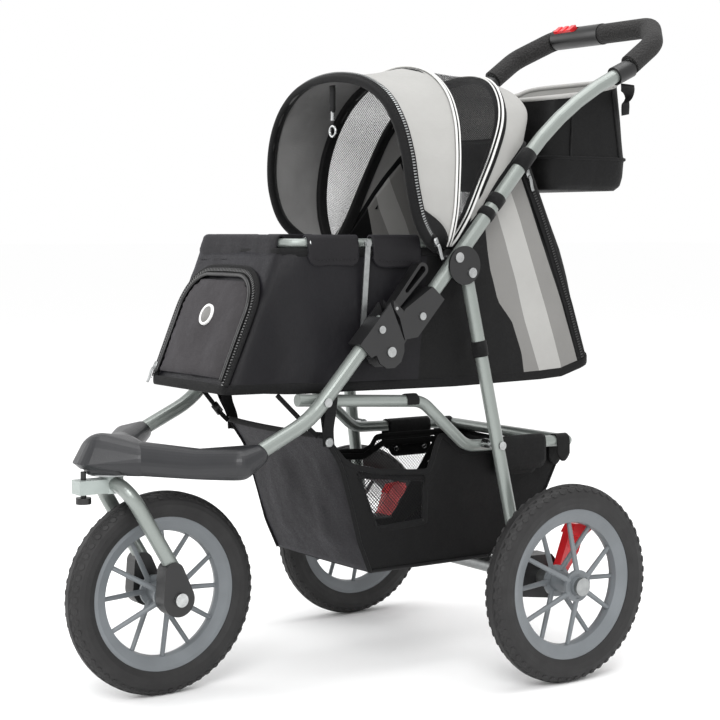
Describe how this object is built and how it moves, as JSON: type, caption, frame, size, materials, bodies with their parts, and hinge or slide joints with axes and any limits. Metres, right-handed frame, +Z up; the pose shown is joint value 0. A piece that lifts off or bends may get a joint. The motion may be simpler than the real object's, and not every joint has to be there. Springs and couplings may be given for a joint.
{
  "type": "pet stroller",
  "caption": "Folding three-wheel jogger-style stroller for a pet, with a padded cloth cabin, bow canopy, basket, swivelling front wheel and foot brakes.",
  "frame": {"origin": "on the floor under the middle of the stroller's overall box", "axes": "+Z up; -Y forward, towards the single front wheel; +X to the stroller's left"},
  "size_m": [0.641, 1.025, 1.0359],
  "materials": {
    "frame_paint": "satin",
    "bow_metal": "satin",
    "bright_metal": "satin",
    "swivel_metal": "satin",
    "crown_metal": "satin",
    "rim_plastic": "satin",
    "tyre_rubber": "matte",
    "black_plastic": "satin",
    "foam_grip": "matte",
    "red_plastic": "gloss",
    "spring_wire": "satin",
    "black_cloth": "matte",
    "mat_cloth": "matte",
    "light_cloth": "matte",
    "grey_cloth": "matte",
    "mesh_cloth": "matte"
  },
  "bodies": {
    "front_frame": {"front_tube_left": "frame_paint", "front_tube_right": "frame_paint", "nose_fairing": "black_plastic", "swivel_plate": "swivel_metal", "latch_base_left": "black_plastic", "latch_base_right": "black_plastic", "front_bolts": "bright_metal", "cabin_tub": "black_cloth", "cabin_mat": "mat_cloth", "cabin_pocket": "black_cloth"},
    "cabin_rim": {"rim_tube": "bow_metal", "flap_front": "black_cloth", "flap_left": "black_cloth", "flap_right": "black_cloth"},
    "side_struts": {"struts": "bright_metal"},
    "front_fork": {"fork_tube": "frame_paint", "fork_crown": "crown_metal", "fork_tip_left": "black_plastic", "fork_tip_right": "black_plastic", "front_axle": "bright_metal"},
    "swivel_lock": {"lock_knob": "black_plastic"},
    "front_wheel": {"front_tyre": "tyre_rubber", "front_rim": "rim_plastic"},
    "basket_rail": {"lower_rail": "frame_paint", "basket": "black_cloth"},
    "upper_frame": {"upper_tube_left": "frame_paint", "upper_tube_right": "frame_paint", "latch_top_left": "black_plastic", "latch_top_right": "black_plastic", "pivot_plate_left": "black_plastic", "pivot_plate_right": "black_plastic", "upper_bolts": "bright_metal", "handlebar": "frame_paint", "collars": "foam_grip", "grip_left": "foam_grip", "grip_right": "foam_grip", "console": "black_plastic", "rear_bag": "black_cloth", "canopy_roof": "light_cloth", "cabin_rear": "grey_cloth"},
    "latch_left": {"trigger_left": "black_plastic"},
    "latch_right": {"trigger_right": "black_plastic"},
    "button": {"slide_button": "red_plastic"},
    "canopy_front": {"hoop": "spring_wire", "panel_front": "light_cloth"},
    "leash": {"leash_clip": "bright_metal"},
    "canopy_middle": {"bow_middle": "spring_wire", "panel_mesh": "mesh_cloth"},
    "canopy_back": {"bow_rear": "spring_wire"},
    "rear_legs": {"leg_left": "frame_paint", "leg_right": "frame_paint", "rear_axle": "frame_paint", "brake_boxes": "black_plastic", "leg_bolts": "bright_metal"},
    "brake_left": {"brake_pedal_left": "red_plastic"},
    "brake_right": {"brake_pedal_right": "red_plastic"},
    "rear_wheel_left": {"rear_tyre_left": "tyre_rubber", "rear_rim_left": "rim_plastic"},
    "rear_wheel_right": {"rear_tyre_right": "tyre_rubber", "rear_rim_right": "rim_plastic"}
  },
  "joints": [
    {"name": "handle_fold", "type": "hinge", "parent": "front_frame", "child": "upper_frame", "pos_m": [0, -0.084, 0.503], "axis": [-1, 0, 0], "range_deg": [0, 105], "deforming": ["cabin_tub", "cabin_mat", "cabin_pocket", "basket", "cabin_rear", "canopy_roof"]},
    {"name": "rail_fold", "type": "hinge", "parent": "front_frame", "child": "basket_rail", "pos_m": [0, -0.192, 0.435], "axis": [-1, 0, 0], "range_deg": [0, 72.6]},
    {"name": "leg_fold", "type": "hinge", "parent": "upper_frame", "child": "rear_legs", "pos_m": [0, 0.0655, 0.616], "axis": [1, 0, 0], "range_deg": [0, 56.6]},
    {"name": "rim_fold", "type": "hinge", "parent": "upper_frame", "child": "cabin_rim", "pos_m": [0, 0.0405, 0.639], "axis": [1, 0, 0], "range_deg": [0, 20.3]},
    {"name": "strut_fold", "type": "hinge", "parent": "front_frame", "child": "side_struts", "pos_m": [0, -0.112, 0.522], "axis": [-1, 0, 0], "range_deg": [0, 98.6]},
    {"name": "canopy_open", "type": "hinge", "parent": "canopy_middle", "child": "canopy_front", "pos_m": [0, 0.0405, 0.639], "axis": [-1, 0, 0], "range_deg": [0, 25], "deforming": ["panel_front", "panel_mesh"]},
    {"name": "canopy_middle_turn", "type": "hinge", "parent": "canopy_back", "child": "canopy_middle", "pos_m": [0, 0.0405, 0.639], "axis": [-1, 0, 0], "range_deg": [0, 13]},
    {"name": "canopy_back_turn", "type": "hinge", "parent": "upper_frame", "child": "canopy_back", "pos_m": [0, 0.0405, 0.639], "axis": [-1, 0, 0], "range_deg": [0, 5]},
    {"name": "leash_swing", "type": "hinge", "parent": "canopy_front", "child": "leash", "pos_m": [0, -0.06, 0.898], "axis": [1, 0, 0], "range_deg": [-60, 30]},
    {"name": "fork_swivel", "type": "hinge", "parent": "front_frame", "child": "front_fork", "pos_m": [0, -0.4405, 0.3317], "axis": [0, 0, 1], "continuous": true},
    {"name": "lock_slide", "type": "slide", "parent": "front_fork", "child": "swivel_lock", "axis": [0, 0, -1], "range_m": [0, 0.008]},
    {"name": "front_wheel_spin", "type": "hinge", "parent": "front_fork", "child": "front_wheel", "pos_m": [0, -0.3625, 0.15], "axis": [1, 0, 0], "continuous": true},
    {"name": "rear_wheel_left_spin", "type": "hinge", "parent": "rear_legs", "child": "rear_wheel_left", "pos_m": [0.2835, 0.1745, 0.15], "axis": [1, 0, 0], "continuous": true},
    {"name": "rear_wheel_right_spin", "type": "hinge", "parent": "rear_legs", "child": "rear_wheel_right", "pos_m": [-0.2835, 0.1745, 0.15], "axis": [1, 0, 0], "continuous": true},
    {"name": "brake_left_press", "type": "hinge", "parent": "rear_legs", "child": "brake_left", "pos_m": [0.2385, 0.1985, 0.156], "axis": [-1, 0, 0], "range_deg": [0, 24]},
    {"name": "brake_right_press", "type": "hinge", "parent": "rear_legs", "child": "brake_right", "pos_m": [-0.2385, 0.1985, 0.156], "axis": [-1, 0, 0], "range_deg": [0, 24]},
    {"name": "latch_left_pull", "type": "hinge", "parent": "upper_frame", "child": "latch_left", "pos_m": [0.172, -0.074, 0.566], "axis": [-1, 0, 0], "range_deg": [0, 12], "stiffness_Nm_per_rad": 1.5, "springref_deg": -8.59},
    {"name": "latch_right_pull", "type": "hinge", "parent": "upper_frame", "child": "latch_right", "pos_m": [-0.172, -0.074, 0.566], "axis": [-1, 0, 0], "range_deg": [0, 12], "stiffness_Nm_per_rad": 1.5, "springref_deg": -8.59},
    {"name": "button_slide", "type": "slide", "parent": "upper_frame", "child": "button", "axis": [1, 0, 0], "range_m": [0, 0.012], "stiffness_N_per_m": 150, "springref_m": -0.01}
  ],
  "couplings": [
    {"joint": "rail_fold", "follows": "handle_fold", "ratio": 0.6914},
    {"joint": "leg_fold", "follows": "handle_fold", "ratio": 0.539},
    {"joint": "rim_fold", "follows": "handle_fold", "ratio": 0.1924},
    {"joint": "strut_fold", "follows": "handle_fold", "ratio": 0.939},
    {"joint": "canopy_middle_turn", "follows": "canopy_open", "ratio": 0.52},
    {"joint": "canopy_back_turn", "follows": "canopy_open", "ratio": 0.2}
  ]
}
